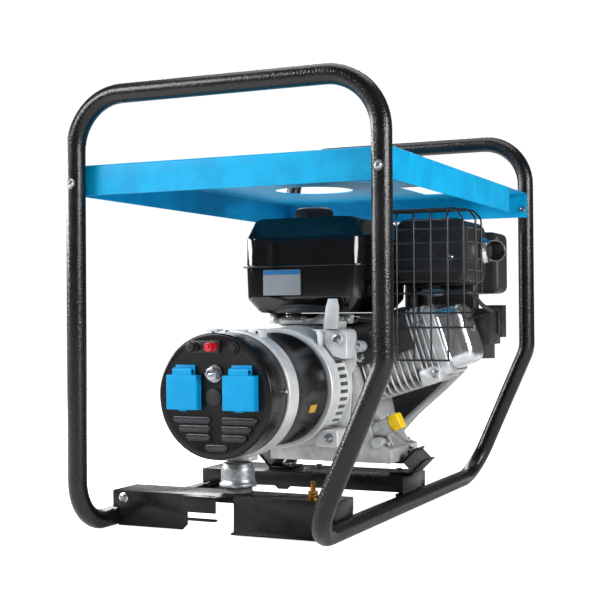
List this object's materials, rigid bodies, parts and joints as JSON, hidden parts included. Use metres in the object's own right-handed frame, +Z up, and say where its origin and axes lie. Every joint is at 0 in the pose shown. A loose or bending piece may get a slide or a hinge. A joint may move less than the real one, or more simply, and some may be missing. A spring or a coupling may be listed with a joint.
{
  "type": "portable generator",
  "caption": "Open-frame portable generator: tube frame, petrol engine and alternator end to end, sheet cover above, mains sockets under hinged lids.",
  "frame": {"origin": "on the ground, midway between the two hoops and midway between the posts", "axes": "+Z up; +Y from the alternator's socket panel towards the engine and its recoil starter; +X towards the cylinder, muffler side"},
  "size_m": [0.497, 0.7876, 0.6422],
  "materials": {
    "frame_black": "textured black powder coat",
    "sheet_black": "satin black powder coat",
    "cover_blue": "fine textured blue powder coat",
    "zinc": "bright zinc plate",
    "brass": "bare turned brass",
    "rubber": "black rubber",
    "satin_black": "satin black paint",
    "cast_aluminium": "bare die casting",
    "polished_aluminium": "polished sheet",
    "gloss_black": "gloss black paint",
    "lamination": "varnished laminations",
    "steel": "machined steel",
    "plastic_blue": "moulded blue",
    "plastic_black": "moulded black",
    "plastic_red": "moulded red",
    "plastic_grey": "moulded dark grey",
    "muffler_grey": "heat-proof dark grey paint",
    "plastic_yellow": "moulded yellow"
  },
  "bodies": {
    "set": {"front_hoop": "frame_black", "rear_hoop": "frame_black", "left_rail": "frame_black", "right_rail": "frame_black", "front_crossmember": "sheet_black", "rear_crossmember": "sheet_black", "top_cover": "cover_blue", "cover_bolt_front_left": "zinc", "cover_bolt_front_right": "zinc", "cover_bolt_rear_left": "zinc", "cover_bolt_rear_right": "zinc", "alternator_mount_cup": "zinc", "earth_stud": "zinc", "earth_terminal": "brass", "alternator_mount_rubber": "rubber", "engine_mount_left": "rubber", "engine_mount_right": "rubber", "centre_plug": "rubber", "spark_lead": "rubber", "panel_cover": "satin_black", "blower_housing": "satin_black", "recoil_cover": "satin_black", "rear_bracket": "cast_aluminium", "drive_end_bracket": "cast_aluminium", "crankcase": "cast_aluminium", "cylinder": "cast_aluminium", "cylinder_head": "cast_aluminium", "tank_bracket": "cast_aluminium", "tank_arm": "cast_aluminium", "carburetor": "cast_aluminium", "valve_cover": "polished_aluminium", "exhaust_outlet": "polished_aluminium", "stator": "gloss_black", "fuel_tank": "gloss_black", "rear_bearing": "steel", "socket_left": "plastic_blue", "socket_right": "plastic_blue", "dc_terminal_base": "plastic_black", "breaker_body": "plastic_black", "muffler_guard": "plastic_black", "control_plate": "plastic_black", "air_cleaner": "plastic_grey", "cylinder_shroud": "plastic_grey", "muffler": "muffler_grey"},
    "crank": {"crankshaft": "steel", "rotor": "lamination", "flywheel": "steel"},
    "starter_pulley": {"recoil_pulley": "plastic_black"},
    "starter_handle": {"recoil_handle": "plastic_black"},
    "lid_left": {"socket_lid_left": "plastic_blue"},
    "lid_right": {"socket_lid_right": "plastic_blue"},
    "knob_red": {"dc_knob_red": "plastic_red"},
    "knob_black": {"dc_knob_black": "plastic_black"},
    "reset_button": {"breaker_button": "plastic_black"},
    "choke": {"choke_lever": "plastic_black"},
    "fuel_tap": {"fuel_tap_lever": "plastic_red"},
    "stop_switch": {"engine_switch": "plastic_red"},
    "tank_cap": {"fuel_cap": "plastic_black"},
    "oil_dipstick": {"dipstick": "plastic_yellow"},
    "piston": {"piston": "cast_aluminium"}
  },
  "joints": [
    {"name": "crank_spin", "type": "hinge", "parent": "set", "child": "crank", "pos_m": [-0.05, 0, 0.1976], "axis": [0, 1, 0], "continuous": true},
    {"name": "starter_pull", "type": "slide", "parent": "set", "child": "starter_handle", "axis": [-1, 0, 0], "range_m": [0, 0.6], "stiffness_N_per_m": 30, "springref_m": -0.2},
    {"name": "starter_pulley_turn", "type": "hinge", "parent": "set", "child": "starter_pulley", "pos_m": [-0.05, 0.2153, 0.1976], "axis": [0, -1, 0], "range_deg": [0, 760]},
    {"name": "lid_left_open", "type": "hinge", "parent": "set", "child": "lid_left", "pos_m": [-0.0955, -0.3123, 0.2346], "axis": [-1, 0, 0], "range_deg": [0, 95], "stiffness_Nm_per_rad": 0.03, "springref_deg": -28.65},
    {"name": "lid_right_open", "type": "hinge", "parent": "set", "child": "lid_right", "pos_m": [-0.0045, -0.3123, 0.2346], "axis": [-1, 0, 0], "range_deg": [0, 95], "stiffness_Nm_per_rad": 0.03, "springref_deg": -28.65},
    {"name": "knob_red_turn", "type": "hinge", "parent": "set", "child": "knob_red", "pos_m": [-0.048, -0.31, 0.2686], "axis": [0, -1, 0], "range_deg": [0, 720]},
    {"name": "knob_black_turn", "type": "hinge", "parent": "set", "child": "knob_black", "pos_m": [-0.078, -0.31, 0.2686], "axis": [0, -1, 0], "range_deg": [0, 720]},
    {"name": "reset_press", "type": "slide", "parent": "set", "child": "reset_button", "axis": [0, 1, 0], "range_m": [0, 0.0025], "stiffness_N_per_m": 500, "springref_m": -0.001},
    {"name": "choke_swing", "type": "hinge", "parent": "set", "child": "choke", "pos_m": [0.2353, 0.178, 0.312], "axis": [1, 0, 0], "range_deg": [0, 60]},
    {"name": "fuel_tap_turn", "type": "hinge", "parent": "set", "child": "fuel_tap", "pos_m": [0.105, 0.2036, 0.27], "axis": [0, 1, 0], "range_deg": [0, 90]},
    {"name": "stop_switch_rock", "type": "hinge", "parent": "set", "child": "stop_switch", "pos_m": [0.105, 0.2028, 0.225], "axis": [0, 0, 1], "range_deg": [0, 12]},
    {"name": "tank_cap_lift", "type": "slide", "parent": "set", "child": "tank_cap", "axis": [0, 0, 1], "range_m": [0, 0.16]},
    {"name": "dipstick_pull", "type": "slide", "parent": "set", "child": "oil_dipstick", "axis": [0.9063, 0, 0.4226], "range_m": [0, 0.11]},
    {"name": "piston_stroke", "type": "slide", "parent": "set", "child": "piston", "axis": [-0.9511, 0, -0.309], "range_m": [0, 0.06]}
  ],
  "couplings": [
    {"joint": "starter_pulley_turn", "follows": "starter_pull", "rad_per_m": 21.739}
  ]
}
